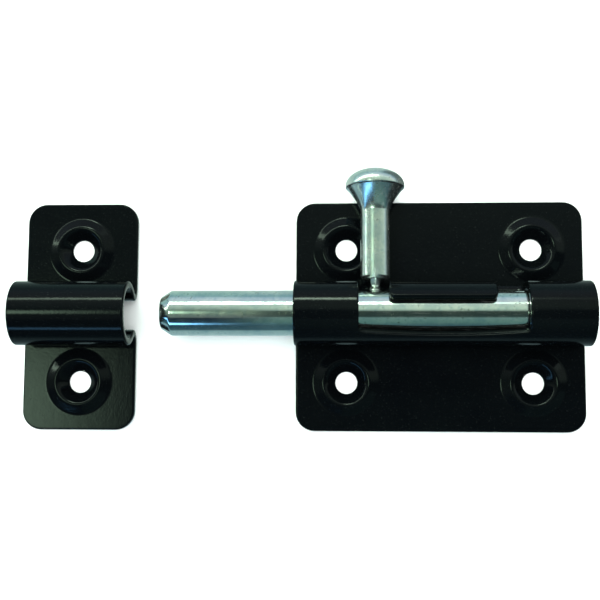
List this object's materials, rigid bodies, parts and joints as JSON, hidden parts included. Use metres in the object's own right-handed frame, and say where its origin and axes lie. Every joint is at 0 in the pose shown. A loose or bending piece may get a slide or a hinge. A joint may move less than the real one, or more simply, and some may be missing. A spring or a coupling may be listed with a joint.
{
  "type": "barrel slide bolt latch",
  "caption": "Surface-mounted barrel bolt: a round bolt slides in a rolled housing, a mushroom knob turns down to lock it, and a keeper loop receives the tip.",
  "frame": {"origin": "on the housing's flat back, midway between the two screw holes on the knob's side", "axes": "+X runs along the bolt, from the keeper towards the housing, so the bolt is thrown along -X; +Y points across it towards the knob's side; +Z points out of the mounting face"},
  "size_m": [0.1179, 0.0544, 0.0144],
  "materials": {
    "housing": "glossy black powder coat",
    "keeper": "glossy black powder coat",
    "bolt": "bright zinc plate",
    "knob": "bright zinc plate"
  },
  "bodies": {
    "housing": {"housing": "housing"},
    "keeper": {"keeper": "keeper"},
    "bolt": {"bolt": "bolt"},
    "knob": {"knob": "knob"}
  },
  "joints": [
    {"name": "bolt_slide", "type": "slide", "parent": "housing", "child": "bolt", "axis": [1, 0, 0], "range_m": [0, 0.02765]},
    {"name": "knob_turn", "type": "hinge", "parent": "bolt", "child": "knob", "pos_m": [-0.01342, -0.01405, 0.00776], "axis": [1, 0, 0], "range_deg": [0, 110]},
    {"name": "keeper_place", "type": "slide", "parent": "housing", "child": "keeper", "axis": [1, 0, 0], "range_m": [0, 0.031]}
  ]
}
